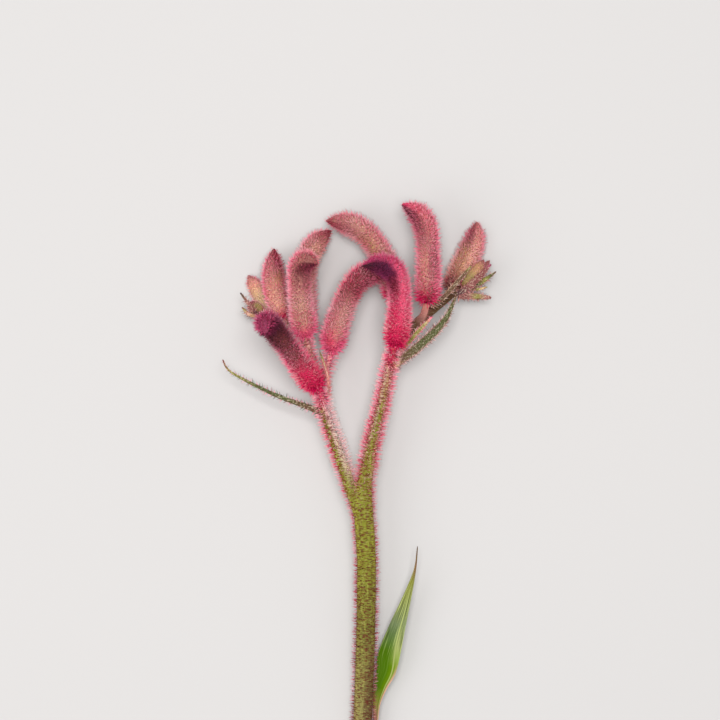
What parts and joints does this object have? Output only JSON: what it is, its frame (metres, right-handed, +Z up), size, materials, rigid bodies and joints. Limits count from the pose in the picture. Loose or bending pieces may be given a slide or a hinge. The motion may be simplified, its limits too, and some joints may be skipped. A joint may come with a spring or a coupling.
{
  "type": "kangaroo paw flower",
  "caption": "Cut kangaroo paw flower lying down: a hairy forked stem with woolly hooked tubular flowers, closed buds, narrow bracts and a folded lower leaf.",
  "frame": {"origin": "on the table, under the middle of the lying flower's bounding box", "axes": "+Y runs up the stem towards the flowers, +Z is up from the table, +X is to the right seen from above"},
  "size_m": [0.1046, 0.236, 0.0441],
  "materials": {
    "stem_skin": "olive green skin with dense short dark red hairs, matte",
    "flower_wool": "dense pink to crimson wool over a tan skin, matte",
    "bud_wool": "thin pink wool over a tan and olive skin, matte",
    "leaf_skin": "satin green blade with parallel veins and a pale margin",
    "bract_skin": "olive brown hairy blade, matte"
  },
  "bodies": {
    "root": {"stem": "stem_skin", "flower_left_low": "flower_wool", "flower_left_inner": "flower_wool", "flower_left_front": "flower_wool", "flower_left_back": "flower_wool", "flower_right_low": "flower_wool", "flower_right_back": "flower_wool", "flower_right_upright": "flower_wool", "bud_right": "bud_wool", "bud_left_large": "bud_wool", "bud_left_small": "bud_wool", "growing_tip_left": "bud_wool", "growing_tip_right": "bud_wool", "leaf_low": "leaf_skin", "bract_left_long": "bract_skin", "bract_left_small": "bract_skin", "bract_right_long": "bract_skin", "bract_right_over": "bract_skin", "bract_right_under": "bract_skin"}
  },
  "joints": []
}
